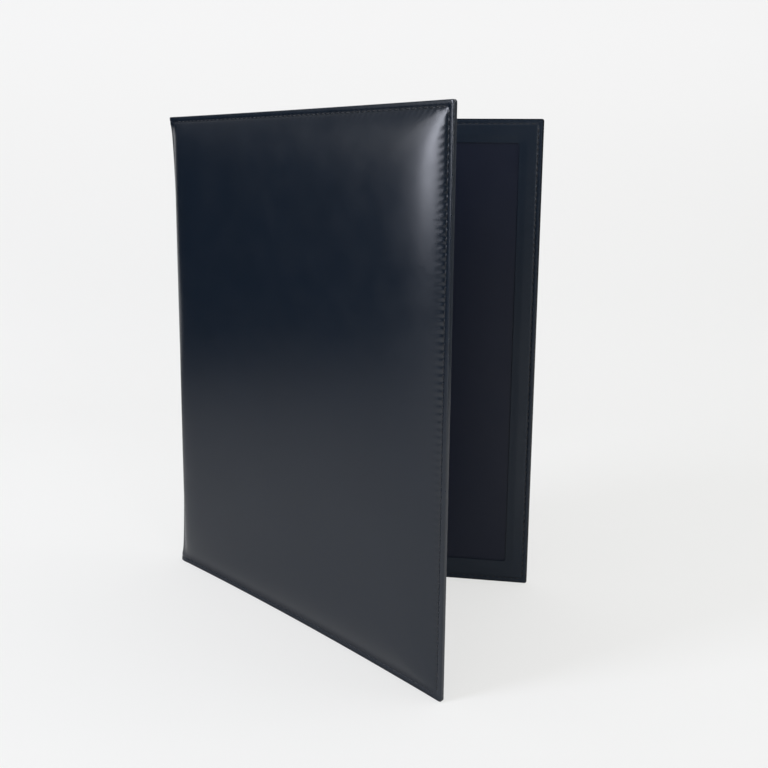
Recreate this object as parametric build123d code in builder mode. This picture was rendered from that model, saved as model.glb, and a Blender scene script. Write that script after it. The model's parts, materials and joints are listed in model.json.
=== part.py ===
from build123d import *
import os
from math import cos, floor, radians, sin, sqrt

# A padded two-leaf menu cover for an A4 sheet, standing on its lower hems and opened like a book.
# Millimetres. Z is up, the spine lies towards -X, the front leaf towards -Y and the back leaf towards +Y.
# The origin is the middle of the footprint, on the surface that the cover stands on.

# Overall sizes
cover_height = 310.0
leaf_width = 239.0  # from the hinge line to the fore-edge
spine_width = 9.0  # between the two hinge lines
rest_opening = 35.0  # angle between the leaves as the cover stands, in degrees

# Layers of one leaf, from its inside face outwards
frame_leather = 0.6
lining_cloth = 0.3
turn_in_leather = 0.4  # pared thinner than the rest of the skin
board_thickness = 1.5
outer_leather = 0.7

# Foam pad
pad_crown = 4.5
pad_roll = 20.0  # distance over which the pad rises from its foot to its flat top
pad_from_hinge = 2.6
foam_clearance = 0.1

# Edges of the leaf
corner_radius = 1.5
hem_round = 0.8
turn_in_width = 12.0
board_from_hinge = 1.6
board_clearance = 0.1
lining_inset = 1.0  # from the leaf's edge to the edge of the lining and frame
gutter_gap = 0.3  # between the leather that turns with a leaf and the spine's own leather

# Inner frame
frame_from_hinge = 4.0
frame_border = 15.0  # from the leaf's edge to the window, on three sides
frame_gutter_strip = 28.0  # the wider strip beside the spine
window_corner = 2.0

# Seam
seam_inset = 3.3  # from the leaf's edge to the stitches
seam_start = 5.0  # from the hinge line to the first stitch
stitch_pitch = 4.0
stitch_length = 2.7
thread_width = 0.6
thread_proud = 0.12
groove_width = 1.0
groove_depth = 0.25
inner_groove_depth = 0.2
spine_stitches = 2

# Levels of the layers, measured outwards from the leaf's inside face
border_lining_level = frame_leather
turn_in_level = border_lining_level + lining_cloth
board_level = turn_in_level + turn_in_leather
skin_level = board_level + board_thickness
hem_level = skin_level + outer_leather
hinge_level = hem_level - outer_leather / 2

# How each leaf stands: half the opening on each side of the middle plane
half_opening = radians(rest_opening / 2)
spine_turn = 180.0 - rest_opening  # how far the spine's arc turns from leaf to leaf, in degrees
spine_radius = spine_width / 2 / cos(half_opening)
arc_centre_from_hinge = spine_radius * sin(half_opening)

# The hinge lines stand where the whole cover is centred on the origin
back_reach = spine_radius - arc_centre_from_hinge + outer_leather / 2
front_reach = leaf_width * cos(half_opening) + (hinge_level - turn_in_level) * sin(half_opening)
hinge_x = (back_reach - front_reach) / 2

# Each leaf's name and the side of the middle plane that it lies on
leaves = (("front", -1), ("back", 1))


def leaf_directions(side):
    """The way from the spine to the fore-edge, and the way out of the leaf's padded face."""
    along = Vector(cos(half_opening), side * sin(half_opening), 0)
    outward = Vector(-sin(half_opening), side * cos(half_opening), 0)
    return along, outward


def leaf_plane(side, level):
    """The plane of one layer: x runs from the hinge line to the fore-edge, y from mid-height."""
    along, outward = leaf_directions(side)
    hinge = Vector(hinge_x, side * spine_width / 2, cover_height / 2)
    return Plane(origin=hinge + outward * (level - hinge_level), x_dir=along, z_dir=outward)


def across_plane(side):
    """A section across the leaf: x runs to the fore-edge, y outwards from the inside face."""
    along, outward = leaf_directions(side)
    return Plane(origin=leaf_plane(side, 0).origin, x_dir=along, z_dir=along.cross(outward))


def upright_plane(side):
    """A section up the leaf: x runs up from mid-height, y outwards from the inside face."""
    along, outward = leaf_directions(side)
    up = Vector(0, 0, 1)
    return Plane(origin=leaf_plane(side, 0).origin, x_dir=up, z_dir=up.cross(outward))


def span(start, end, height, mode=Mode.ADD):
    """A rectangle between two distances from the hinge line, centred on mid-height."""
    with Locations(((start + end) / 2, 0)):
        Rectangle(end - start, height, mode=mode)


def layer(side, level, thickness, start, end, height, mode=Mode.ADD):
    """A flat layer of the leaf between two distances from the hinge line."""
    with BuildSketch(leaf_plane(side, level)) as outline:
        span(start, end, height)
    extrude(outline.sketch, amount=thickness, mode=mode)


def pad_outline(foot_start, foot_end, foot_level, skin):
    """The pad's section: a flat top with an arc down to each foot, a skin inside the outer face."""
    roll_radius = (pad_roll**2 + pad_crown**2) / (2 * pad_crown) - skin
    top_level = hem_level + pad_crown - skin
    reach = sqrt(roll_radius**2 - (roll_radius - top_level + foot_level) ** 2)
    top_start = foot_start + pad_roll
    top_end = foot_end - pad_roll
    with BuildLine() as outline:
        Line((top_start, top_level), (top_end, top_level))
        TangentArc((top_end, top_level), (top_end + reach, foot_level), tangent=(1, 0))
        Line((top_end + reach, foot_level), (top_start - reach, foot_level))
        TangentArc((top_start, top_level), (top_start - reach, foot_level), tangent=(-1, 0))
    make_face(outline.edges())


def make_pad(side, foot_level, skin):
    """The crowned pad, where a ridge across the leaf and a ridge up it meet in mitred corners."""
    edge = seam_inset + groove_width / 2
    half_foot = cover_height / 2 - edge
    with BuildPart() as pad:
        with BuildSketch(across_plane(side)):
            pad_outline(pad_from_hinge, leaf_width - edge, foot_level, skin)
        extrude(amount=cover_height / 2, both=True)
        with BuildSketch(upright_plane(side)):
            pad_outline(-half_foot, half_foot, foot_level, skin)
        extrude(amount=leaf_width, both=True, mode=Mode.INTERSECT)
    return pad


def cut_groove(side, level, depth, start):
    """A shallow channel for the stitches along the top, the fore-edge and the bottom."""
    inset = seam_inset - groove_width / 2
    inner = seam_inset + groove_width / 2
    with BuildSketch(leaf_plane(side, level)) as channel:
        span(start, leaf_width - inset, cover_height - 2 * inset)
        span(start, leaf_width - inner, cover_height - 2 * inner, mode=Mode.SUBTRACT)
    extrude(channel.sketch, amount=depth, mode=Mode.SUBTRACT)


def finish(piece, name):
    """Name one piece and write it to its own file."""
    piece.part.label = name
    export_step(piece.part, f"parts/{name}.step")


def make_leather(name, side):
    """The outer skin: crowned over the foam, wrapped round three board edges and turned in."""
    along, outward = leaf_directions(side)
    inner_start = gutter_gap + outer_leather / 2
    wall = outer_leather
    outer_pad = make_pad(side, skin_level, 0)
    foam_room = make_pad(side, skin_level, outer_leather)
    with BuildPart() as leather:
        with BuildSketch(leaf_plane(side, turn_in_level)) as outline:
            span(inner_start, leaf_width, cover_height)
            fillet(outline.vertices().group_by(Axis.X)[-1], radius=corner_radius)
        extrude(amount=hem_level - turn_in_level)
        hem_face = leather.faces().sort_by(Axis((0, 0, 0), outward))[-1]
        hem_edges = hem_face.edges().sort_by(Axis((0, 0, 0), along))[1:]
        fillet(hem_edges, radius=hem_round)
        add(outer_pad.part)
        add(foam_room.part, mode=Mode.SUBTRACT)
        # Room for the board, open towards the spine
        board_end = leaf_width - wall
        room_height = cover_height - 2 * wall
        layer(side, board_level, board_thickness, board_from_hinge, board_end, room_height, Mode.SUBTRACT)
        # The turn-ins leave the middle of the board bare
        opening = cover_height - 2 * turn_in_width
        layer(side, turn_in_level, turn_in_leather, 0, leaf_width - turn_in_width, opening, Mode.SUBTRACT)
        # Only the face leather crosses the gutter
        under_skin = skin_level - turn_in_level
        layer(side, turn_in_level, under_skin, 0, board_from_hinge, cover_height, Mode.SUBTRACT)
        cut_groove(side, hem_level - groove_depth, groove_depth, 0)
    finish(leather, f"{name}_leather")


def make_foam(name, side):
    """The foam pad, which fills the crown of the skin and lies on the board."""
    foam = make_pad(side, skin_level, outer_leather + foam_clearance)
    finish(foam, f"{name}_foam_pad")


def make_board(name, side):
    """The board that carries the leaf."""
    edge = outer_leather + board_clearance
    height = cover_height - 2 * edge
    with BuildPart() as board:
        layer(side, board_level, board_thickness, board_from_hinge, leaf_width - edge, height)
    finish(board, f"{name}_board")


def make_lining(name, side):
    """The lining: it steps down from the turn-ins onto the board and wraps the board's spine edge."""
    start = gutter_gap + outer_leather / 2
    wrap_start = board_from_hinge - lining_cloth
    end = leaf_width - lining_inset
    height = cover_height - 2 * lining_inset
    step_end = leaf_width - turn_in_width
    step_height = cover_height - 2 * turn_in_width
    with BuildPart() as lining:
        layer(side, border_lining_level, board_level - border_lining_level, wrap_start, end, height)
        # Room for the turn-ins on the board side
        with BuildSketch(leaf_plane(side, turn_in_level)):
            span(0, leaf_width, cover_height)
            span(0, step_end, step_height, mode=Mode.SUBTRACT)
        extrude(amount=turn_in_leather, mode=Mode.SUBTRACT)
        # The shallow recess that the menu sheet lies in, open towards the spine
        recess_end = step_end - lining_cloth
        recess_height = step_height - 2 * lining_cloth
        layer(side, border_lining_level, turn_in_leather, 0, recess_end, recess_height, Mode.SUBTRACT)
        # Down the board's spine edge and out along the gutter leather
        layer(side, board_level, board_thickness, wrap_start, board_from_hinge, step_height)
        layer(side, skin_level - lining_cloth, lining_cloth, start, board_from_hinge, step_height)
    finish(lining, f"{name}_lining")


def make_frame(name, side):
    """The leather frame that holds the menu sheet's edges, with its window and stitch channel."""
    window_start = frame_from_hinge + frame_gutter_strip
    window_end = leaf_width - frame_border
    window_height = cover_height - 2 * frame_border
    with BuildPart() as frame:
        with BuildSketch(leaf_plane(side, 0)):
            span(frame_from_hinge, leaf_width - lining_inset, cover_height - 2 * lining_inset)
            with Locations(((window_start + window_end) / 2, 0)):
                RectangleRounded(window_end - window_start, window_height, window_corner, mode=Mode.SUBTRACT)
        extrude(amount=frame_leather)
        cut_groove(side, 0, inner_groove_depth, 0)
    finish(frame, f"{name}_frame")


def sew_leaf(name, side, level, height):
    """One row of stitches: along the top, down the fore-edge and back along the bottom."""
    seam_end = leaf_width - seam_inset
    across_count = floor((seam_end - seam_start) / stitch_pitch)
    up_count = floor((cover_height - 2 * seam_inset) / stitch_pitch)
    middle = (seam_start + seam_end) / 2
    seam_height = cover_height / 2 - seam_inset
    with BuildPart() as thread:
        with BuildSketch(leaf_plane(side, level)):
            with Locations((middle, seam_height), (middle, -seam_height)):
                with GridLocations(stitch_pitch, 0, across_count, 1):
                    Rectangle(stitch_length, thread_width)
            with Locations((seam_end, 0)):
                with GridLocations(0, stitch_pitch, 1, up_count):
                    Rectangle(thread_width, stitch_length)
        extrude(amount=height)
    finish(thread, name)


def arc_band(inner, outer, turn, middle=180.0):
    """A slice of a ring about the spine's arc centre, turned so far about a middle direction."""
    start = middle - turn / 2
    with BuildLine() as outline:
        outside = CenterArc((0, 0), outer, start, turn)
        inside = CenterArc((0, 0), inner, start, turn)
        Line(outside @ 0, inside @ 0)
        Line(outside @ 1, inside @ 1)
    make_face(outline.edges())


def spine_plane(height):
    """A level plane centred on the spine's arc."""
    return Plane(origin=(hinge_x + arc_centre_from_hinge, 0, height))


def spine_ring(bottom, height, inner, outer, turn, mode=Mode.ADD):
    """An upright piece of the spine between two radii."""
    with BuildSketch(spine_plane(bottom)) as outline:
        arc_band(inner, outer, turn)
    extrude(outline.sketch, amount=height, mode=mode)


# Radii of the spine's layers
spine_outer = spine_radius + outer_leather / 2
spine_inner = spine_radius - outer_leather / 2
hem_inner = spine_inner - turn_in_leather
lining_turn = spine_turn - 2 * 180.0 * gutter_gap / (radians(180.0) * spine_inner)


def make_spine_leather():
    """The limp strip between the leaves, doubled at its top and bottom hems."""
    seam_low = seam_inset - groove_width / 2
    seam_high = cover_height - seam_inset - groove_width / 2
    with BuildPart() as leather:
        spine_ring(0, cover_height, spine_inner, spine_outer, spine_turn)
        # The strip ends in a rounded bead on each hinge line
        with BuildSketch(spine_plane(0)):
            with Locations(*[(-arc_centre_from_hinge, side * spine_width / 2) for name, side in leaves]):
                Circle(outer_leather / 2)
        extrude(amount=cover_height)
        for bottom in (0, cover_height - turn_in_width):
            spine_ring(bottom, turn_in_width, hem_inner, spine_inner, lining_turn)
        groove_floor = spine_outer - groove_depth
        for bottom in (seam_low, seam_high):
            spine_ring(bottom, groove_width, groove_floor, spine_outer + 1, spine_turn, Mode.SUBTRACT)
    finish(leather, "spine_leather")


def make_spine_lining():
    """The inner strip of the spine, which steps over the hems."""
    middle_height = cover_height - 2 * turn_in_width
    with BuildPart() as lining:
        spine_ring(turn_in_width, middle_height, spine_inner - lining_cloth, spine_inner, lining_turn)
        for bottom in (lining_inset, cover_height - turn_in_width):
            border = turn_in_width - lining_inset
            spine_ring(bottom, border, hem_inner - lining_cloth, hem_inner, lining_turn)
        step = turn_in_leather + lining_cloth
        for bottom in (turn_in_width, cover_height - turn_in_width - lining_cloth):
            spine_ring(bottom, lining_cloth, spine_inner - step, spine_inner, lining_turn)
    finish(lining, "spine_lining")


def sew_spine(name, inner, outer):
    """The few stitches that cross the spine at each hem."""
    pitch_turn = stitch_pitch / spine_radius * 180.0 / radians(180.0)
    stitch_turn = stitch_length / spine_radius * 180.0 / radians(180.0)
    with BuildPart() as thread:
        for seam_height in (seam_inset, cover_height - seam_inset):
            with BuildSketch(spine_plane(seam_height - thread_width / 2)):
                for count in range(spine_stitches):
                    offset_turn = (count - (spine_stitches - 1) / 2) * pitch_turn
                    arc_band(inner, outer, stitch_turn, 180.0 + offset_turn)
            extrude(amount=thread_width)
    finish(thread, name)


os.makedirs("parts", exist_ok=True)
for name, side in leaves:
    make_leather(name, side)
    make_foam(name, side)
    make_board(name, side)
    make_lining(name, side)
    make_frame(name, side)
    sew_leaf(f"{name}_upper_thread", side, hem_level - groove_depth, groove_depth + thread_proud)
    sew_leaf(f"{name}_bobbin_thread", side, -thread_proud, inner_groove_depth + thread_proud)

make_spine_leather()
make_spine_lining()
sew_spine("spine_upper_thread", spine_outer - groove_depth, spine_outer + thread_proud)
sew_spine("spine_bobbin_thread", hem_inner - lining_cloth - thread_proud, hem_inner - lining_cloth)
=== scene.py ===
import json
from math import cos, pi, radians, sin

import bmesh
import bpy
import numpy as np
from mathutils import Matrix, Vector


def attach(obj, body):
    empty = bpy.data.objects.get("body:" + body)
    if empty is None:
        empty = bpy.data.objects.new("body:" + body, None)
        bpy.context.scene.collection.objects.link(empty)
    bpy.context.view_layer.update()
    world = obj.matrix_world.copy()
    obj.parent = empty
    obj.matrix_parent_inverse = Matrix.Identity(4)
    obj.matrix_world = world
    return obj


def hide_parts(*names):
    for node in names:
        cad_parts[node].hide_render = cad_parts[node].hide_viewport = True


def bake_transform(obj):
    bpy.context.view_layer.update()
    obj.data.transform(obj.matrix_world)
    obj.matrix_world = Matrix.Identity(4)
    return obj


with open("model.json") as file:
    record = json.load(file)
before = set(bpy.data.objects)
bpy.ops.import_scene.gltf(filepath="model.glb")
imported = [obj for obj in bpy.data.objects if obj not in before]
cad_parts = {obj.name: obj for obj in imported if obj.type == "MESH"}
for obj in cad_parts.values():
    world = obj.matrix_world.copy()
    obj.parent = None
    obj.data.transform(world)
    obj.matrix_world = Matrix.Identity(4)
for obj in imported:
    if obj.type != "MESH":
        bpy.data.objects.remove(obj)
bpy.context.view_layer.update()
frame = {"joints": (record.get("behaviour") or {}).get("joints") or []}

# The looks of a padded two-leaf menu cover, standing open on its lower hems. Metres.
# On each leaf, u runs from the hinge line to the fore-edge, z runs up from the surface that the cover
# stands on, and level runs outwards from the inside face. Side -1 is the front leaf and +1 the back leaf.
leaves = (("front", -1), ("back", 1))

# Driving sizes, as in the solids
cover_height = 0.310
leaf_width = 0.239
half_opening = radians(17.5)
bow = {-1: 0.0024, 1: 0.0}  # how far the middle of each leaf is bent inwards between spine and fore-edge
hinge_level = 0.00315
hem_level = 0.0035
skin_thickness = 0.0007
turn_in_level = 0.0009
turn_in_thickness = 0.0004
turn_in_width = 0.012
corner_radius = 0.0015
hem_round = 0.0008
pad_crown = 0.0045
pad_start = 0.0026
spine_roll = (0.45, 0.003, 0.007)  # the quick rise beside the spine, its share and reach, and the slow one
seam_inset = 0.0033
seam_start = 0.005
channel_width = 0.00075
channel_depth = 0.00034
pad_foot = seam_inset + 0.0004
pad_reach = 0.052  # how far in from the pad's foot the rows of its mesh follow the edge
stitch_pitch = 0.004
frame_start = 0.004
frame_inset = 0.001
frame_thickness = 0.0006
frame_border = 0.015
frame_gutter_strip = 0.028
frame_corner = 0.0008
window_corner = 0.002
board_start = 0.0016
stitch_length = 0.0031
thread_radius = 0.0003
bend_stretch = (-0.0003, 0.0024)  # the stretch where the limp spine meets the leaf, as values of u

# Steps of the leaf meshes along each edge; merge of them become one away from the seam
merge = 3
across_steps = 396
corner_steps = 6
up_steps = 522
coarse_across = across_steps // merge
coarse_down = (2 * corner_steps + up_steps) // merge

# Rings of points along each stitch, and points round each ring
stitch_rings = 11
ring_points = 8

# The hinge lines come from the joints
hinges = {joint["child"]: Vector(joint["pos_m"]) for joint in frame["joints"]}
hinge_x = hinges["front_leaf"].x
spine_half = hinges["back_leaf"].y
spine_radius = spine_half / cos(half_opening)
full_bulge = spine_radius - spine_radius * sin(half_opening)


def leaf_points(side, u, z, level):
    """Points of a leaf in the frame of the part, one row for each value."""
    u, z, level = np.broadcast_arrays(u, z, level)
    share = u / leaf_width
    out = level - hinge_level - 4 * bow[side] * share * (1 - share)
    x = hinge_x + u * cos(half_opening) - out * sin(half_opening)
    y = side * (spine_half + u * sin(half_opening) + out * cos(half_opening))
    return np.stack([x, y, z], axis=-1)


def leaf_directions(side):
    """The way to the fore-edge and the way out of the padded face."""
    along = Vector((cos(half_opening), side * sin(half_opening), 0))
    outward = Vector((-sin(half_opening), side * cos(half_opening), 0))
    return along, outward


def make_object(name, points, faces, flat_places=None, wear=None):
    """A smooth mesh object with metric texture coordinates and a wear value at each point."""
    mesh = bpy.data.meshes.new(name)
    mesh.from_pydata(points.tolist(), [], faces)
    body = bmesh.new()
    body.from_mesh(mesh)
    bmesh.ops.recalc_face_normals(body, faces=body.faces)
    body.to_mesh(mesh)
    body.free()
    mesh.shade_smooth()
    mesh.set_sharp_from_angle(angle=radians(50))
    if flat_places is not None:
        corners = np.zeros(len(mesh.loops), int)
        mesh.loops.foreach_get("vertex_index", corners)
        layer = mesh.uv_layers.new(name="flat")
        layer.data.foreach_set("uv", flat_places[corners].astype(np.float32).ravel())
    if wear is not None:
        attribute = mesh.attributes.new("wear", "FLOAT", "POINT")
        attribute.data.foreach_set("value", wear.astype(np.float32))
    piece = bpy.data.objects.new(name, mesh)
    bpy.context.scene.collection.objects.link(piece)
    return piece


def grid_faces(rows, columns, closed=False):
    """Quads between neighbouring rows of points; closed joins the last column to the first."""
    index = np.arange(rows * columns).reshape(rows, columns)
    if closed:
        index = np.concatenate([index, index[:, :1]], axis=1)
    quads = np.stack([index[:-1, :-1], index[:-1, 1:], index[1:, 1:], index[1:, :-1]], axis=-1)
    return quads.reshape(-1, 4).tolist()


def coarser_faces(fine, coarse, columns):
    """Faces between a row of points and a row with a third as many steps, from their first points."""
    faces = []
    for step in range((columns - 1) // merge):
        edge = [fine + merge * step + k for k in range(merge + 1)]
        faces.append(edge + [coarse + step + 1, coarse + step])
    return faces


def smooth_step(value):
    """0 below 0, 1 above 1, and a smooth rise between."""
    value = np.clip(value, 0, 1)
    return value * value * (3 - 2 * value)


def end_inset(z):
    """How far a height is in from the nearer of the top and the bottom."""
    return np.minimum(z, cover_height - z)


def edge_inset(u, z):
    """How far a place on a leaf is in from the nearest sewn edge."""
    return np.minimum(leaf_width - u, end_inset(z))


def edge_wear(inset, reach=0.0012):
    """How worn the leather is at a distance from its edge."""
    return np.exp(-((inset / reach) ** 2))


def level_at(level, u, z):
    """Levels at places on a leaf, from a number or a function of u and z."""
    return level(u, z) if callable(level) else np.full(len(u), level)


def edge_path(inset, coarse=False):
    """A row of points along the top, the fore-edge and the bottom, at an inset from the leaf's edge."""
    widest_radius = 0.03
    radius = min(corner_radius + 0.6 * inset, widest_radius)
    far = leaf_width - inset - radius
    high = cover_height - inset - radius
    low = inset + radius
    # Denser towards the spine, where the pad rises
    crowding = 0.5
    share = np.expm1(crowding * np.linspace(0, 1, across_steps + 1)) / np.expm1(crowding)
    across = pad_start + (far - pad_start) * share
    turn = np.linspace(0, pi / 2, corner_steps + 1)
    up = np.linspace(high, low, up_steps + 1)
    top = np.full(across_steps + 1, cover_height - inset)
    u = [across, far + radius * np.sin(turn[1:]), np.full(up_steps, leaf_width - inset),
         far + radius * np.cos(turn[1:]), across[::-1][1:]]
    z = [top, high + radius * np.cos(turn[1:]), up[1:], low - radius * np.sin(turn[1:]),
         cover_height - top[1:]]
    u, z = np.concatenate(u), np.concatenate(z)
    return (u[::merge], z[::merge]) if coarse else (u, z)


def middle_patch(inset):
    """Rows of points that fill the leaf inside a coarse edge path, without the path's own points."""
    u, z = edge_path(inset, coarse=True)
    side_u = u[coarse_across:-coarse_across]
    side_z = z[coarse_across:-coarse_across]
    share = (u[:coarse_across] - pad_start) / (u[coarse_across] - pad_start)
    patch_u = pad_start + share * (side_u[1:-1, None] - pad_start)
    patch_z = np.repeat(side_z[1:-1, None], coarse_across, axis=1)
    return patch_u, patch_z


def patch_faces(path, patch):
    """Quads of the middle patch, given the first point of its edge path and of the patch itself."""
    across, down = coarse_across, coarse_down
    index = np.zeros((down + 1, across + 1), int)
    index[0] = path + np.arange(across + 1)
    index[:, -1] = path + across + np.arange(down + 1)
    index[-1] = path + 2 * across + down - np.arange(across + 1)
    index[1:-1, :-1] = patch + np.arange((down - 1) * across).reshape(down - 1, across)
    quads = np.stack([index[:-1, :-1], index[:-1, 1:], index[1:, 1:], index[1:, :-1]], axis=-1)
    return quads.reshape(-1, 4).tolist()


def seam_phase(u, z):
    """Where a point lies along the nearest seam, in stitches, and how far it is from the corners."""
    to_side = leaf_width - u
    to_end = end_inset(z)
    seam_end = leaf_width - seam_inset
    across = (u - (seam_start + seam_end) / 2) / stitch_pitch
    up = (z - cover_height / 2) / stitch_pitch
    phase = np.where(to_side < to_end, up, across)
    clear = smooth_step(np.abs(to_side - to_end) / 0.003)
    return phase, clear


def pad_rise(distance, quick_share, quick, slow):
    """Share of the full crown at a distance from the pad's foot: a quick rise and then a slow one."""
    distance = np.maximum(distance, 0)
    return 1 - quick_share * np.exp(-distance / quick) - (1 - quick_share) * np.exp(-distance / slow)


def edge_rise(z, to_fore_edge):
    """Share of the crown at a height and a distance from the fore-edge's foot, rounder further in."""
    top_reach, bottom_reach, fore_edge_reach = 0.0115, 0.0105, 0.014
    # The roll above the bottom seam starts more gently
    gentle = 0.0012
    high = cover_height - pad_foot - z
    low = z - pad_foot
    low = low - gentle * np.tanh(low / gentle)
    places = ((high, top_reach), (low, bottom_reach), (to_fore_edge + 0 * z, fore_edge_reach))
    far = np.maximum([distance / reach for distance, reach in places], 0)
    ease = 2 + 4 * np.exp(-2 * far.min(axis=0))
    return np.maximum(1 - np.exp(-ease * far).sum(axis=0) ** (1 / ease), 0)


def pad_height(u, z):
    """The crown of leather stretched over foam and held down along its foot."""
    rise = edge_rise(z, leaf_width - pad_foot - u)
    return pad_crown * rise * pad_rise(u - pad_start, *spine_roll)


def skin_level(u, z, seed):
    """Level of the outer face: the crown, the sewn channel, its dimples and the bead outside it."""
    pucker_height, pucker_reach = 0.00008, 0.001
    dimple_depth, pressed_depth, pressed_height = 0.00014, 0.00026, 0.008
    bead_height, bead_fall, wave_height = 0.00005, 0.00010, 0.00005
    inset = edge_inset(u, z)
    phase, clear = seam_phase(u, z)
    beat = np.cos(2 * pi * phase)
    inward = np.maximum(inset - pad_foot, 0) / pucker_reach
    bump = pucker_height * clear * beat * inward * np.exp(1 - inward)
    across = (inset - seam_inset) / channel_width
    # The seam that the cover stands on is pressed flatter
    free = smooth_step(z / pressed_height)
    dimple = dimple_depth * clear * (0.5 - 0.5 * beat) ** 2
    depth = pressed_depth + free * (channel_depth - pressed_depth + dimple)
    channel = depth * np.exp(-across * across)
    outside = np.clip((seam_inset - inset) / seam_inset, 0, 1)
    bead = bead_height - bead_fall * outside ** 2
    bead = bead * smooth_step(outside / 0.15) * (1 + 0.15 * clear * beat)
    wave = wave_height * np.sin(u * 61 + seed) * np.sin(z * 47 + 2 * seed)
    return hem_level + pad_height(u, z) + bump - channel + bead + wave * smooth_step(inset / 0.02)


def row_faces(row, following):
    """Faces between two rows of points, each given by its first point and its number of points."""
    (first, columns), (second, others) = row, following
    if columns == others:
        return [(first + k, first + k + 1, second + k + 1, second + k) for k in range(columns - 1)]
    if columns > others:
        return coarser_faces(first, second, columns)
    return coarser_faces(second, first, others)


def build_shell(name, side, layers):
    """A closed piece of a leaf, from rows that run from its outer middle round the edge to its inner middle.

    Each layer has an inset, a level (a number or a function of u and z) and whether its row is coarse.
    """
    places, faces, rows = [], [], []
    count = 0
    for inset, level, coarse in layers:
        u, z = edge_path(inset, coarse)
        places.append((u, z, level_at(level, u, z)))
        rows.append((count, len(u)))
        if len(rows) > 1:
            faces += row_faces(*rows[-2:])
        count += len(u)
    for (first, _), (inset, level, _) in ((rows[0], layers[0]), (rows[-1], layers[-1])):
        u, z = (part.ravel() for part in middle_patch(inset))
        places.append((u, z, level_at(level, u, z)))
        faces += patch_faces(first, count)
        count += len(u)
    # The cut edge beside the spine
    patch_rows = coarse_down - 1
    inner_patch = count - patch_rows * coarse_across
    outer_patch = inner_patch - patch_rows * coarse_across
    cut = [first for first, columns in rows]
    cut += [inner_patch + row * coarse_across for row in range(patch_rows)]
    cut += [first + columns - 1 for first, columns in reversed(rows)]
    cut += [outer_patch + row * coarse_across for row in reversed(range(patch_rows))]
    faces.append(cut)
    u, z, level = (np.concatenate([place[k] for place in places]) for k in range(3))
    wear = edge_wear(edge_inset(u, z))
    # The inside of the shell has a place of its own in the flat pattern
    turned_in = level < hem_level - 0.0005
    flat = np.stack([u, z + np.where(turned_in, 0.4 + level, 0)], axis=-1)
    return make_object(name, leaf_points(side, u, z, level), faces, flat, wear)


def make_skin(name, side):
    """The leather of one leaf: crowned over the pad, wrapped round three edges and turned in."""
    inner_level = turn_in_level + turn_in_thickness
    inside = hem_level - skin_thickness

    def outer_face(u, z):
        return skin_level(u, z, 3 + side)

    def inner_face(u, z):
        return inside - 0.00005 + pad_height(u, z)

    coarse_from = 0.0095
    pad_insets = seam_inset + 0.0005 + pad_reach * np.linspace(0, 1, 24)[::-1] ** 2.2
    rows = [(inset, outer_face, inset > coarse_from) for inset in pad_insets]
    rows += [(inset, outer_face, False) for inset in np.linspace(pad_foot, seam_inset - 0.0005, 8)]
    rows += [(inset, outer_face, False) for inset in np.linspace(seam_inset - 0.0008, hem_round, 7)]
    for turn in np.linspace(0, pi / 2, 8)[1:]:
        level = hem_level - hem_round + hem_round * cos(turn)
        rows.append((hem_round - hem_round * sin(turn), level, False))
    small_round = 0.00025
    for turn in np.linspace(0, pi / 2, 5):
        level = turn_in_level + small_round - small_round * sin(turn)
        rows.append((small_round - small_round * cos(turn), level, False))
    rows += [(inset, turn_in_level, False) for inset in (0.001, 0.004, 0.008, turn_in_width)]
    rows += [(turn_in_width, inner_level, True), (skin_thickness, inner_level, True)]
    rows += [(skin_thickness, inside, True)]
    rows += [(inset, inner_face, True) for inset in pad_insets[::-4]]
    return build_shell(name, side, rows)


def make_foam(name, side):
    """The foam pad under the leather."""
    base = hem_level - skin_thickness + 0.00003
    clearance = skin_thickness + 0.0002

    def crown(u, z):
        return np.maximum(hem_level + pad_height(u, z) - clearance, base + 0.00005)

    insets = seam_inset + 0.0012 + pad_reach * np.linspace(0, 1, 16)[::-1] ** 2
    rows = [(inset, crown, True) for inset in insets]
    rows += [(insets[-1], base, True), (insets[0], base, True)]
    return build_shell(name, side, rows)


def stitch_places():
    """Middle of each stitch of one leaf as u and z, and whether it runs up the leaf."""
    seam_end = leaf_width - seam_inset
    across = int((seam_end - seam_start) / stitch_pitch)
    up = int((cover_height - 2 * seam_inset) / stitch_pitch + 1e-6)
    steps = (np.arange(across) - (across - 1) / 2) * stitch_pitch
    places = [((seam_start + seam_end) / 2 + step, end, False)
              for end in (cover_height - seam_inset, seam_inset) for step in steps]
    steps = (np.arange(up) - (up - 1) / 2) * stitch_pitch
    return places + [(seam_end, cover_height / 2 + step, True) for step in steps]


def stitch_shape(seed):
    """One stitch lying along x, as rows of rings of x, y and height, with its two plies twisted."""
    ply_depth, twist, end_dive = 0.14, 2.4, 0.0007
    station = np.linspace(-1, 1, stitch_rings)[:, None]
    turn = np.linspace(0, 2 * pi, ring_points, endpoint=False)
    x = station * stitch_length / 2 * (1 - 0.08 * station ** 4) + 0 * turn
    ply = 1 + ply_depth * np.cos(2 * (turn - twist * station * pi + seed))
    thin = 1 - 0.35 * station ** 6
    y = thread_radius * thin * ply * np.cos(turn)
    height = 0.9 * thread_radius * thin * ply * np.sin(turn) - end_dive * np.abs(station) ** 4
    return x, y, height


def stitch_faces(number):
    """Faces of one closed stitch, given its number in its row."""
    first = number * stitch_rings * ring_points
    quads = grid_faces(stitch_rings, ring_points, closed=True)
    faces = [[first + index for index in quad] for quad in quads]
    last_ring = first + (stitch_rings - 1) * ring_points
    return faces + [[ring + k for k in range(ring_points)] for ring in (first, last_ring)]


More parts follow.
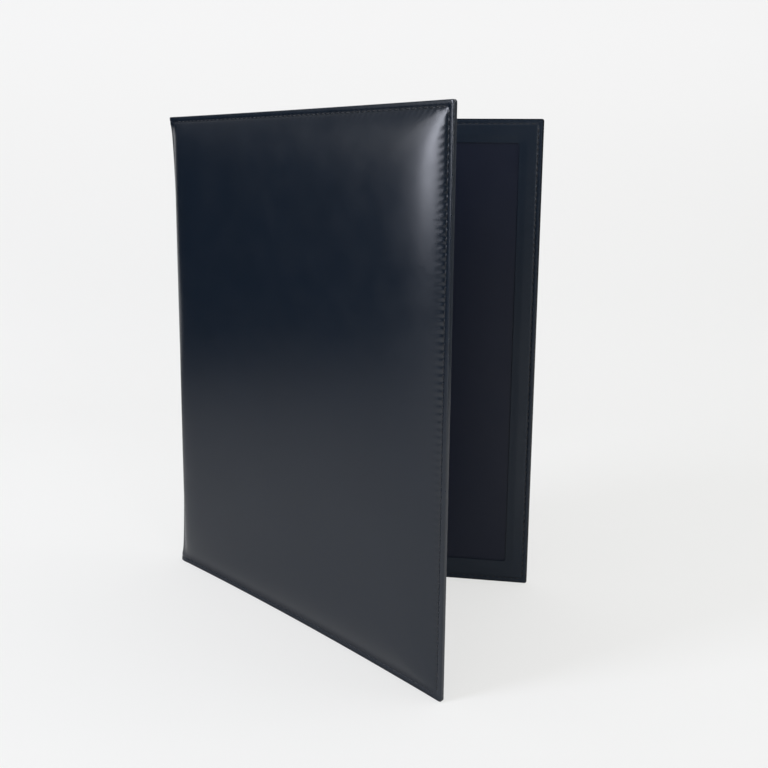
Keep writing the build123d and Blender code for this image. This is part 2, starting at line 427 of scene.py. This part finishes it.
def make_stitches(name, side, inside):
    """The whole row of stitches on one face of a leaf."""
    drawn = np.random.default_rng(11 + side + 4 * inside)
    points, faces = [], []
    outwards = -1 if inside else 1
    for number, (u, z, up) in enumerate(stitch_places()):
        # How deep the thread lies below the face, in thread radii
        sunk = 0.3 if inside and up else 1.1
        base = sunk * thread_radius if inside else hem_level - sunk * thread_radius
        x, y, height = stitch_shape(drawn.uniform(0, pi))
        lean = drawn.normal(0, 0.035)
        x, y = x - lean * y, y + lean * x
        du, dz = (y, x) if up else (x, y)
        points.append(leaf_points(side, u + du, z + dz, base + outwards * height).reshape(-1, 3))
        faces += stitch_faces(number)
    return make_object(name, np.concatenate(points), faces)


def frame_loop(at_window, step):
    """A closed loop of points round the frame, a step in from its outside or a step out from its window."""
    if at_window:
        low_u, low_z = frame_start + frame_gutter_strip - step, frame_border - step
        radius = window_corner + step
    else:
        low_u, low_z = frame_start + step, frame_inset + step
        radius = frame_corner
    high_u, high_z = leaf_width - low_z, cover_height - low_z
    turn = np.linspace(0, pi / 2, 6)
    corners = ((high_u - radius, high_z - radius, 0), (high_u - radius, low_z + radius, -pi / 2),
               (low_u + radius, low_z + radius, -pi), (low_u + radius, high_z - radius, pi / 2))
    side_steps = (420, 300, 60, 300)
    u, z = [], []
    for number, (centre_u, centre_z, start) in enumerate(corners):
        angle = start + turn[::-1]
        arc_u, arc_z = centre_u + radius * np.cos(angle), centre_z + radius * np.sin(angle)
        next_u, next_z, next_start = corners[(number + 1) % 4]
        end_u = next_u + radius * np.cos(next_start + pi / 2)
        end_z = next_z + radius * np.sin(next_start + pi / 2)
        share = np.linspace(0, 1, side_steps[number] + 1)[1:-1]
        u += [arc_u, arc_u[-1] + (end_u - arc_u[-1]) * share]
        z += [arc_z, arc_z[-1] + (end_z - arc_z[-1]) * share]
    return np.concatenate(u), np.concatenate(z)


def frame_face(u, z):
    """Level of the frame's face: the sewn channel with its dimples, and a puff on each side of it."""
    channel_reach, plain_depth, dimple_depth = 0.0005, 0.00020, 0.00016
    puff_height, inner_puff, inner_reach = 0.00005, seam_inset + 0.0014, 0.001
    outer_puff, outer_reach, wave_height = 0.0017, 0.0006, 0.00004
    inset = edge_inset(u, z)
    phase, clear = seam_phase(u, z)
    beat = np.cos(2 * pi * phase)
    depth = plain_depth + dimple_depth * clear * (0.5 - 0.5 * beat) ** 2
    channel = depth * np.exp(-((inset - seam_inset) / channel_reach) ** 2)
    inner = puff_height * np.exp(-((inset - inner_puff) / inner_reach) ** 2) * clear * beat
    outer = puff_height * np.exp(-((inset - outer_puff) / outer_reach) ** 2) * clear * (1 + beat)
    wave = wave_height * np.sin(u * 53 + 1) * np.sin(z * 41)
    return channel - inner - outer + wave


def make_frame(name, side):
    """The leather frame inside a leaf, with soft edges, a window and a sewn channel."""
    round_off = 0.00045
    window_round = 0.0002
    thinning = 0.00036
    thinned_reach = 0.006
    rows = []
    for turn in np.linspace(0, pi / 2, 5):
        u, z = frame_loop(False, round_off - round_off * sin(turn))
        rows.append((u, z, frame_face(u, z) + round_off - round_off * sin(turn)))
    for step in (0.0006, 0.0008, 0.0010, 0.0013, 0.0016, 0.0019, 0.0021, 0.0023, 0.0025, 0.0027, 0.0030,
                 0.0034, 0.0040, 0.0050, 0.0065):
        u, z = frame_loop(False, step)
        rows.append((u, z, frame_face(u, z)))
    for step in (thinned_reach, 0.0052, 0.0045, 0.0038, 0.0031, 0.0024, 0.0018, 0.0012, 0.0007):
        u, z = frame_loop(True, step)
        rows.append((u, z, frame_face(u, z) + thinning * (1 - smooth_step(step / thinned_reach))))
    for turn in np.linspace(0, pi / 2, 5):
        u, z = frame_loop(True, window_round - window_round * sin(turn))
        rows.append((u, z, frame_face(u, z) + thinning + window_round - window_round * cos(turn)))
    for at_window, step in ((True, 0), (True, thinned_reach), (False, 0.0065), (False, 0)):
        u, z = frame_loop(at_window, step)
        rows.append((u, z, np.full(len(u), frame_thickness)))
    u, z, level = (np.stack([row[k] for row in rows]) for k in range(3))
    count, columns = u.shape
    faces = grid_faces(count, columns, closed=True)
    last_row = (count - 1) * columns
    for k in range(columns):
        following = (k + 1) % columns
        faces.append([last_row + k, last_row + following, following, k])
    wear = 0.6 * edge_wear(edge_inset(u, z) - frame_inset, 0.0008)
    flat = np.stack([u, z], axis=-1).reshape(-1, 2)
    return make_object(name, leaf_points(side, u, z, level).reshape(-1, 3), faces, flat, wear.ravel())


def make_plate(name, side, u_lines, z_lines, face, back):
    """A closed thin plate of a leaf between two levels, each a function of u and z."""
    u, z = np.meshgrid(u_lines, z_lines, indexing="ij")
    count, columns = u.shape
    size = count * columns
    u, z = u.ravel(), z.ravel()
    back_shift = 0.5  # keeps the back apart from the face in the flat pattern
    points = np.concatenate([leaf_points(side, u, z, face(u, z)), leaf_points(side, u, z, back(u, z))])
    faces = grid_faces(count, columns)
    faces += [[index + size for index in quad] for quad in grid_faces(count, columns)]
    index = np.arange(size).reshape(count, columns)
    rim = np.concatenate([index[0, :-1], index[:-1, -1], index[-1, :0:-1], index[:0:-1, 0]]).tolist()
    for start, end in zip(rim, rim[1:] + rim[:1]):
        faces.append([start, end, end + size, start + size])
    flat = np.stack([u, z], axis=-1)
    return make_object(name, points, faces, np.concatenate([flat, flat + back_shift]))


def make_lining(name, side):
    """The lining, stepped down from the turn-ins onto the board."""
    cloth = turn_in_level - frame_thickness
    step = turn_in_width
    u_lines = np.concatenate([[board_start - cloth], np.linspace(0.003, leaf_width - step - cloth, 40),
                              np.linspace(leaf_width - step, leaf_width - frame_inset, 4)])
    z_lines = np.concatenate([np.linspace(frame_inset, step, 4), [step + cloth],
                              np.linspace(0.02, cover_height - 0.02, 30),
                              [cover_height - step - cloth],
                              np.linspace(cover_height - step, cover_height - frame_inset, 4)])

    def inside_step(u, z, edge):
        return (u < leaf_width - edge) & (z > edge) & (z < cover_height - edge)

    def face(u, z):
        lower = inside_step(u, z, step + cloth / 2)
        return np.where(lower, frame_thickness + turn_in_thickness, frame_thickness)

    def back(u, z):
        lower = inside_step(u, z, step - 1e-6)
        return np.where(lower, turn_in_level + turn_in_thickness, turn_in_level) - 0.00001

    return make_plate(name, side, u_lines, z_lines, face, back)


def make_board(name, side):
    """The pulp board, with its spine edge eased where the leather turns round it."""
    eased_width = 0.0004
    edge = skin_thickness + 0.0001
    u_lines = np.concatenate([[board_start, board_start + eased_width],
                              np.linspace(0.004, leaf_width - edge, 30)])
    z_lines = np.linspace(edge, cover_height - edge, 12)
    low = turn_in_level + turn_in_thickness + 0.00001

    def face(u, z):
        return np.full(len(u), low)

    def back(u, z):
        eased = np.clip((board_start + eased_width - u) / eased_width, 0, 1)
        return hem_level - skin_thickness - 0.00002 - 0.0003 * eased

    return make_plate(name, side, u_lines, z_lines, face, back)


def spine_shape(z):
    """How far the spine stands out at a height, and how straight it is at the leaf and at the middle."""
    at_hems = (full_bulge + skin_thickness / 2, 0.0060, 0.0034)
    between = (0.0001, 0.0015, 0.0024)
    hem_give, hem_reach, slack_reach = 0.16, 0.003, 0.055
    inset = end_inset(z)
    past_seam = np.maximum(inset - seam_inset - 0.0002, 0)
    held = 1 - hem_give + hem_give * np.exp(-past_seam / hem_reach)
    slack = 1 - held * np.exp(-((inset / slack_reach) ** 1.5))
    return [tight * (1 - slack) + loose * slack for tight, loose in zip(at_hems, between)]


def spine_path(side, z, depth):
    """Points from the leaf to the middle of the spine at each height, at a depth below the outer face."""
    steps = 25
    bulge, at_leaf, at_middle = spine_shape(z)
    start = leaf_points(side, pad_start, z, hem_level)
    share, quick, slow = spine_roll
    slope = pad_crown * edge_rise(z, leaf_width) * (share / quick + (1 - share) / slow)
    along, outward = (np.array(way) for way in leaf_directions(side))
    leaving = -(along + slope[:, None] * outward)
    leaving = leaving / np.linalg.norm(leaving, axis=1)[:, None]
    middle = np.stack([hinge_x - bulge, 0 * z, z], axis=-1)
    first = start + leaving * at_leaf[:, None]
    second = middle + np.array([0.0, side, 0.0]) * at_middle[:, None]
    t = np.linspace(0, 1, steps)[None, :, None]
    weights = ((1 - t) ** 3, 3 * t * (1 - t) ** 2, 3 * t ** 2 * (1 - t), t ** 3)
    path = sum(weight * point[:, None, :] for weight, point in zip(weights, (start, first, second, middle)))
    slope = 3 * ((1 - t) ** 2 * (first - start)[:, None] + 2 * t * (1 - t) * (second - first)[:, None]
                 + t ** 2 * (middle - second)[:, None])
    slope = slope / np.linalg.norm(slope, axis=2)[:, :, None]
    inward = np.stack([-side * slope[..., 1], side * slope[..., 0], 0 * slope[..., 0]], axis=-1)
    return path + inward * np.broadcast_to(depth, z.shape)[:, None, None]


def spine_rows():
    """Heights of the rows of the spine's pieces, close together at the hems."""
    edge = [0, 0.00008, 0.0002, 0.0004, 0.0007, 0.0012, 0.0018]
    fold = [0.0047, 0.0053, 0.006, 0.007, 0.0085, 0.010, 0.0119, 0.0121]
    hem = np.concatenate([edge, np.linspace(0.0024, 0.0042, 10), fold])
    middle = np.linspace(0.015, cover_height - 0.015, 90)
    return np.concatenate([hem, middle, cover_height - hem[::-1]])


def end_round(z, radius):
    """How far a face draws back where its edge is rounded at the top and bottom."""
    part = 1 - np.clip(end_inset(z) / radius, 0, 1)
    return radius * (1 - np.sqrt(np.maximum(1 - part ** 2, 0)))


def spine_piece(name, side, z, outer_depth, inner_depth):
    """A closed strip from the leaf's edge to the middle of the spine, between two depths."""
    outer = spine_path(side, z, outer_depth)
    inner = spine_path(side, z, inner_depth)
    loop = np.concatenate([outer, inner[:, ::-1]], axis=1)
    count, columns = loop.shape[:2]
    faces = grid_faces(count, columns, closed=True)
    faces.append(list(range(columns)))
    faces.append([(count - 1) * columns + k for k in range(columns)])
    length = np.linalg.norm(np.diff(loop, axis=1), axis=2)
    along = np.concatenate([np.zeros((count, 1)), np.cumsum(length, axis=1)], axis=1)
    flat = np.stack([side * along, loop[..., 2]], axis=-1).reshape(-1, 2)
    wear = np.repeat(edge_wear(end_inset(z)), columns)
    return make_object(name, loop.reshape(-1, 3), faces, flat, wear)


def make_spine_half(name, side):
    """Half of the limp spine leather, doubled at its hems, with the sewn channel across them."""
    z = spine_rows()
    inset = end_inset(z)
    across = (inset - seam_inset) / channel_width
    outer = end_round(z, 0.0005) + channel_depth * np.exp(-across * across)
    doubled = np.where(inset <= turn_in_width, turn_in_thickness, 0)
    inner = skin_thickness + doubled - end_round(z, 0.0003)
    return spine_piece(name, side, z, outer, inner)


def make_gutter_half(name, side):
    """Half of the lining inside the spine."""
    z = spine_rows()
    z = z[(z > frame_inset) & (z < cover_height - frame_inset)]
    cover = skin_thickness + np.where(end_inset(z) <= turn_in_width, turn_in_thickness, 0) + 0.00002
    cloth = turn_in_level - frame_thickness
    return spine_piece(name, side, z, cover, cover + cloth)


def make_spine_stitches(name, inside):
    """The few stitches that cross the spine at each hem."""
    drawn = np.random.default_rng(5 + inside)
    points, faces = [], []
    radius = spine_radius + skin_thickness / 2
    base = skin_thickness + turn_in_thickness + 0.0003 if inside else 0.0001
    centre_x = hinge_x + spine_radius * sin(half_opening)
    places = [(height, turn) for height in (seam_inset, cover_height - seam_inset) for turn in (-0.5, 0.5)]
    for number, (height, turn) in enumerate(places):
        x, y, rise = stitch_shape(drawn.uniform(0, pi))
        reach = radius - base + (-rise if inside else rise)
        angle = pi + (turn * stitch_pitch + x) / spine_radius
        place = np.stack([centre_x + reach * np.cos(angle), reach * np.sin(angle), height + y], axis=-1)
        points.append(place.reshape(-1, 3))
        faces += stitch_faces(number)
    return make_object(name, np.concatenate(points), faces)


# Materials

def new_material(name, space):
    """A node material, its nodes and links, its shader, and the places on its surface in a space."""
    material = bpy.data.materials.new(name)
    material.use_nodes = True
    nodes = material.node_tree.nodes
    place = nodes.new("ShaderNodeTexCoord").outputs[space]
    return material, nodes, material.node_tree.links, nodes["Principled BSDF"], place


def add_noise(nodes, links, place, scale, detail=3.0, roughness=0.5):
    """Soft noise between 0 and 1."""
    noise = nodes.new("ShaderNodeTexNoise")
    noise.inputs["Scale"].default_value = scale
    noise.inputs["Detail"].default_value = detail
    noise.inputs["Roughness"].default_value = roughness
    links.new(place, noise.inputs["Vector"])
    return noise.outputs["Fac"]


def add_range(nodes, links, value, low, high, start=0.0, end=1.0):
    """Maps a value onto a range."""
    node = nodes.new("ShaderNodeMapRange")
    node.inputs["From Min"].default_value = start
    node.inputs["From Max"].default_value = end
    node.inputs["To Min"].default_value = low
    node.inputs["To Max"].default_value = high
    links.new(value, node.inputs["Value"])
    return node.outputs["Result"]


def add_mix(nodes, links, factor, first, second):
    """Mixes two colours, each a tuple or a socket."""
    node = nodes.new("ShaderNodeMix")
    node.data_type = "RGBA"
    links.new(factor, node.inputs["Factor"])
    for value, socket in ((first, node.inputs[6]), (second, node.inputs[7])):
        if isinstance(value, tuple):
            socket.default_value = (*value, 1.0)
        else:
            links.new(value, socket)
    return node.outputs[2]


def add_math(nodes, links, operation, first, second):
    """Works out one value from two."""
    node = nodes.new("ShaderNodeMath")
    node.operation = operation
    links.new(first, node.inputs[0])
    links.new(second, node.inputs[1])
    return node.outputs[0]


def add_distance(nodes, links, place, way):
    """How far a place lies along a way."""
    node = nodes.new("ShaderNodeVectorMath")
    node.operation = "DOT_PRODUCT"
    node.inputs[1].default_value = way
    links.new(place, node.inputs[0])
    return node.outputs["Value"]


def add_shader_mix(nodes, links, factor, first, second):
    """Mixes two shaders."""
    node = nodes.new("ShaderNodeMixShader")
    for socket, value in zip(node.inputs, (factor, first, second)):
        links.new(value, socket)
    return node.outputs[0]


def add_bump(nodes, links, height, distance, strength, normal=None):
    """Small relief on top of the relief that is already there."""
    node = nodes.new("ShaderNodeBump")
    node.inputs["Distance"].default_value = distance
    node.inputs["Strength"].default_value = strength
    links.new(height, node.inputs["Height"])
    if normal is not None:
        links.new(normal, node.inputs["Normal"])
    return node.outputs["Normal"]


def leather_material(name, dark, light, roughness, refraction):
    """Smooth satin leather: fine grain, slow changes of tone and sheen, and paler worn edges."""
    grain = 0.0007
    material, nodes, links, shader, place = new_material(name, "UV")
    slow = add_noise(nodes, links, place, 22.0, 4.0, 0.55)
    colour = add_mix(nodes, links, slow, dark, light)
    worn = nodes.new("ShaderNodeAttribute")
    worn.attribute_name = "wear"
    patches = add_range(nodes, links, add_noise(nodes, links, place, 260.0), 0.0, 0.5, 0.3, 0.8)
    rubbed = add_math(nodes, links, "MULTIPLY", worn.outputs["Fac"], patches)
    pale = tuple(1.7 * part + 0.004 for part in light)
    links.new(add_mix(nodes, links, rubbed, colour, pale), shader.inputs["Base Color"])
    sheen = add_noise(nodes, links, place, 55.0, 5.0, 0.6)
    links.new(add_range(nodes, links, sheen, *roughness, 0.3, 0.7), shader.inputs["Roughness"])
    shader.inputs["IOR"].default_value = refraction
    cells = nodes.new("ShaderNodeTexVoronoi")
    cells.feature = "DISTANCE_TO_EDGE"
    cells.inputs["Scale"].default_value = 1 / grain
    links.new(place, cells.inputs["Vector"])
    creases = add_range(nodes, links, cells.outputs["Distance"], 0.0, 1.0, 0.0, 0.25)
    fine = add_bump(nodes, links, creases, 0.00002, 0.2)
    soft = add_noise(nodes, links, place, 700.0, 4.0, 0.6)
    links.new(add_bump(nodes, links, soft, 0.00003, 0.2, fine), shader.inputs["Normal"])
    return material


def thread_material(name):
    """Black sewing thread with a slight sheen."""
    material, nodes, links, shader, place = new_material(name, "Object")
    tone = add_noise(nodes, links, place, 900.0, 2.0)
    colour = add_mix(nodes, links, tone, (0.003, 0.004, 0.006), (0.007, 0.009, 0.013))
    links.new(colour, shader.inputs["Base Color"])
    links.new(add_range(nodes, links, tone, 0.32, 0.45), shader.inputs["Roughness"])
    shader.inputs["Sheen Weight"].default_value = 0.05
    fibres = nodes.new("ShaderNodeTexWave")
    fibres.inputs["Scale"].default_value = 1500.0
    fibres.inputs["Distortion"].default_value = 2.0
    links.new(place, fibres.inputs["Vector"])
    links.new(add_bump(nodes, links, fibres.outputs["Fac"], 0.00004, 0.4), shader.inputs["Normal"])
    return material


def pulp_material(name):
    """Dense grey pulp board with short fibres."""
    material, nodes, links, shader, place = new_material(name, "Object")
    fibres = add_noise(nodes, links, place, 900.0, 6.0, 0.7)
    colour = add_mix(nodes, links, fibres, (0.34, 0.30, 0.25), (0.47, 0.43, 0.36))
    links.new(colour, shader.inputs["Base Color"])
    links.new(add_range(nodes, links, fibres, 0.8, 0.95), shader.inputs["Roughness"])
    links.new(add_bump(nodes, links, fibres, 0.0001, 0.5), shader.inputs["Normal"])
    return material


def foam_material(name):
    """Closed-cell foam with fine pores."""
    material, nodes, links, shader, place = new_material(name, "Object")
    pores = nodes.new("ShaderNodeTexVoronoi")
    pores.inputs["Scale"].default_value = 1800.0
    links.new(place, pores.inputs["Vector"])
    colour = add_mix(nodes, links, pores.outputs["Distance"], (0.62, 0.62, 0.58), (0.78, 0.78, 0.74))
    links.new(colour, shader.inputs["Base Color"])
    links.new(add_range(nodes, links, pores.outputs["Distance"], 0.75, 0.95), shader.inputs["Roughness"])
    links.new(add_bump(nodes, links, pores.outputs["Distance"], 0.0002, 0.6), shader.inputs["Normal"])
    return material


def paint(piece, material):
    """Gives every slot of a piece the same material."""
    piece.data.materials.clear()
    piece.data.materials.append(material)


def dress(piece, material, body, slot, *nodes):
    """Finishes a piece: its material, the body that it rides on, and the solids that it stands for."""
    paint(piece, material)
    if body:
        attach(piece, body)
    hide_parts(*nodes)


# Camera

view_yaw = radians(-25.575)
view_pitch = radians(9.050)
view_roll = radians(0.691)
view_from = Vector((0.268760, -0.461410, 0.274595))
focal_pixels = 857.777
image_size = 768
principal_x = 392.61
principal_y = 310.87

ahead = Vector((sin(view_yaw), cos(view_yaw), 0))
rightward = Vector((cos(view_yaw), -sin(view_yaw), 0))


def make_camera():
    """The camera that the photograph was taken with, worked out from the corners of both leaves."""
    forward = ahead * cos(view_pitch) - Vector((0, 0, sin(view_pitch)))
    up = rightward.cross(forward)
    right = rightward * cos(view_roll) + up * sin(view_roll)
    up = up * cos(view_roll) - rightward * sin(view_roll)
    data = bpy.data.cameras.new("camera")
    data.sensor_width = 36.0
    data.lens = focal_pixels / image_size * data.sensor_width
    data.shift_x = (image_size / 2 - principal_x) / image_size
    data.shift_y = (principal_y - image_size / 2) / image_size
    data.clip_start = 0.01
    camera = bpy.data.objects.new("camera", data)
    turn = Matrix((right, up, -forward)).transposed().to_4x4()
    camera.matrix_world = Matrix.Translation(view_from) @ turn
    bpy.context.scene.collection.objects.link(camera)
    bpy.context.scene.camera = camera


# Stage and light

def paper_painted_shade(nodes, links, place):
    """The colour that the paper gives to the light on the object, with painted shade: pale at the right and
    at the back, darker to the left and front, and a painted contact shadow close to the object.
    """
    levels = []
    # Painted shade: the paper darkens away from the right and the back
    for way, brightest, start, end in ((rightward - 0.4 * ahead, 0.90, -0.9, 0.15), (ahead, 0.7, 0.3, 0.6)):
        distance = add_distance(nodes, links, place, way)
        levels.append(add_range(nodes, links, distance, 0.0, brightest, start, end))
    level = add_math(nodes, links, "MAXIMUM", *levels)
    # Painted contact shadow: the paper's colour darkens within a few millimetres of the object
    painted_contact_shadow = nodes.new("ShaderNodeAmbientOcclusion")
    painted_contact_shadow.samples = 4
    painted_contact_shadow.inputs["Distance"].default_value = 0.006
    links.new(add_mix(nodes, links, level, (0.0, 0.0, 0.0), (1.0, 0.985, 0.95)), painted_contact_shadow.inputs["Color"])
    return painted_contact_shadow.outputs["Color"]


def paper_glow(nodes, links, height):
    """The light that the paper seems to give off, paler higher up."""
    glow = nodes.new("ShaderNodeEmission")
    glow.inputs["Strength"].default_value = 1.0
    rise = add_range(nodes, links, height, 0.0, 1.0, 0.1, 0.5)
    links.new(add_mix(nodes, links, rise, (0.875, 0.875, 0.865), (0.93, 0.93, 0.93)), glow.inputs["Color"])
    return glow.outputs[0]


def stage_material():
    """White paper that the camera sees a little paler than it is lit, and clear from behind."""
    material, nodes, links, shader, place = new_material("paper", "Object")
    shader.inputs["Roughness"].default_value = 0.9
    shader.inputs["Specular IOR Level"].default_value = 0.1
    seen = nodes.new("ShaderNodeLightPath").outputs["Is Camera Ray"]
    # Rays other than the camera's see the paper with painted shade; the camera sees it evenly pale
    colour = paper_painted_shade(nodes, links, place)
    links.new(add_mix(nodes, links, seen, colour, (0.95, 0.95, 0.945)), shader.inputs["Base Color"])
    parts = nodes.new("ShaderNodeSeparateXYZ")
    links.new(place, parts.inputs[0])
    height = parts.outputs["Z"]
    share = add_math(nodes, links, "MULTIPLY", seen, add_range(nodes, links, height, 0.7, 0.9, 0.05, 0.4))
    pale = add_shader_mix(nodes, links, share, shader.outputs[0], paper_glow(nodes, links, height))
    clear = nodes.new("ShaderNodeBsdfTransparent").outputs[0]
    behind = nodes.new("ShaderNodeNewGeometry").outputs["Backfacing"]
    surface = add_shader_mix(nodes, links, behind, pale, clear)
    links.new(surface, nodes["Material Output"].inputs["Surface"])
    return material


def make_stage():
    """A roll of white paper that makes the floor and sweeps up into a wall behind the object."""
    sweep_start = 0.42
    sweep_radius = 0.5
    wall_height = 2.2
    near_end = -1.6
    floor_left = 1.0
    wall_left = 1.3
    right = 0.7
    path = [(near_end, 0.0), (0.0, 0.0)]
    for turn in np.linspace(0, pi / 2, 25):
        path.append((sweep_start + sweep_radius * sin(turn), sweep_radius * (1 - cos(turn))))
    path.append((sweep_start + sweep_radius, wall_height))
    points = []
    for distance, height in path:
        left = floor_left + (wall_left - floor_left) * max(distance, 0) / (sweep_start + sweep_radius)
        for reach in (-left, right):
            place = ahead * distance + rightward * reach
            points.append((place.x, place.y, height))
    faces = [[2 * k, 2 * k + 1, 2 * k + 3, 2 * k + 2] for k in range(len(path) - 1)]
    mesh = bpy.data.meshes.new("sweep")
    mesh.from_pydata(points, [], faces)
    mesh.shade_smooth()
    sweep = bpy.data.objects.new("sweep", mesh)
    bpy.context.scene.collection.objects.link(sweep)
    paint(sweep, stage_material())


def add_softbox(name, azimuth, elevation, distance, size, power, colour=(1.0, 1.0, 1.0)):
    """A soft lamp that faces the middle of the object. Its size is its width and its height."""
    data = bpy.data.lights.new(name, "AREA")
    data.shape = "RECTANGLE"
    data.size, data.size_y = size
    data.energy = power
    data.color = colour
    lamp = bpy.data.objects.new(name, data)
    turn, tilt = radians(azimuth), radians(elevation)
    away = Vector((cos(turn) * cos(tilt), sin(turn) * cos(tilt), sin(tilt)))
    target = Vector((0, 0, cover_height / 2))
    lamp.location = target + away * distance
    lamp.rotation_euler = (-away).to_track_quat("-Z", "Y").to_euler()
    bpy.context.scene.collection.objects.link(lamp)


def make_world():
    """A studio room: pale to the right and overhead, dim to the left and behind the camera."""
    world = bpy.data.worlds.new("room")
    bpy.context.scene.world = world
    world.use_nodes = True
    nodes, links = world.node_tree.nodes, world.node_tree.links
    shader = nodes["Background"]
    direction = nodes.new("ShaderNodeTexCoord").outputs["Generated"]
    brightest_way = (0.30, 0.20, 0.93)
    towards = add_distance(nodes, links, direction, brightest_way)
    level = add_range(nodes, links, towards, 0.0, 0.65, -0.25, 0.93)
    colour = add_mix(nodes, links, level, (0.0, 0.0, 0.0), (1.0, 1.0, 1.0))
    seen = nodes.new("ShaderNodeLightPath").outputs["Is Camera Ray"]
    links.new(add_mix(nodes, links, seen, colour, (0.9, 0.9, 0.9)), shader.inputs["Color"])
    shader.inputs["Strength"].default_value = 1.0


make_camera()
make_stage()
add_softbox("overhead", azimuth=275, elevation=80, distance=1.6, size=(1.8, 1.8), power=6.5)
add_softbox("front_left", azimuth=231.5, elevation=23.5, distance=1.5, size=(0.4, 1.15), power=17,
            colour=(0.86, 0.89, 1.0))
add_softbox("left", azimuth=216, elevation=18, distance=1.5, size=(0.25, 0.4), power=0.4)
add_softbox("right", azimuth=325, elevation=12, distance=1.5, size=(0.3, 0.4), power=3)
add_softbox("right_back", azimuth=18, elevation=38, distance=1.4, size=(0.7, 0.7), power=3)
make_world()
bpy.context.scene.view_settings.view_transform = "Standard"

outer_leather = leather_material(
    "outer_leather", dark=(0.0040, 0.0082, 0.0148), light=(0.0050, 0.0098, 0.0180),
    roughness=(0.22, 0.27), refraction=1.5)
plain_leather = leather_material(
    "frame_leather", dark=(0.0026, 0.0088, 0.0195), light=(0.0034, 0.0110, 0.0235),
    roughness=(0.36, 0.44), refraction=1.42)
lining_leather = leather_material(
    "lining", dark=(0.0012, 0.0042, 0.0160), light=(0.0019, 0.0056, 0.0195),
    roughness=(0.42, 0.50), refraction=1.39)
thread = thread_material("thread")
pulp = pulp_material("board")
foam = foam_material("foam")

for name, side in leaves:
    leaf = f"{name}_leaf"
    skin = make_skin(f"{name}_cover_leather", side)
    dress(skin, outer_leather, leaf, "outer_leather", f"{name}_leather")
    pad = make_foam(f"{name}_foam", side)
    dress(pad, foam, leaf, "foam", f"{name}_foam_pad")
    dress(make_board(f"{name}_pulp_board", side), pulp, leaf, "board", f"{name}_board")
    dress(make_lining(f"{name}_inner_lining", side), lining_leather, leaf, "lining", f"{name}_lining")
    dress(make_frame(f"{name}_inner_frame", side), plain_leather, leaf, "frame_leather", f"{name}_frame")
    stitches = make_stitches(f"{name}_outer_stitches", side, False)
    dress(stitches, thread, leaf, "thread", f"{name}_upper_thread")
    stitches = make_stitches(f"{name}_inner_stitches", side, True)
    dress(stitches, thread, leaf, "thread", f"{name}_bobbin_thread")
    # Points at the two ends of the stretch where the limp leather and lining meet the leaf
    bend_start, bend_end = (Vector(leaf_points(side, u, cover_height / 2, hinge_level))
                            for u in bend_stretch)
    half = make_spine_half(f"spine_leather_{name}_half", side)
    dress(half, outer_leather, None, "outer_leather", "spine_leather")
    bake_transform(half)
    gutter = make_gutter_half(f"spine_lining_{name}_half", side)
    dress(gutter, lining_leather, None, "lining", "spine_lining")
    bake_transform(gutter)

dress(make_spine_stitches("spine_outer_stitches", False), thread, "spine", "thread", "spine_upper_thread")
dress(make_spine_stitches("spine_inner_stitches", True), thread, "spine", "thread", "spine_bobbin_thread")
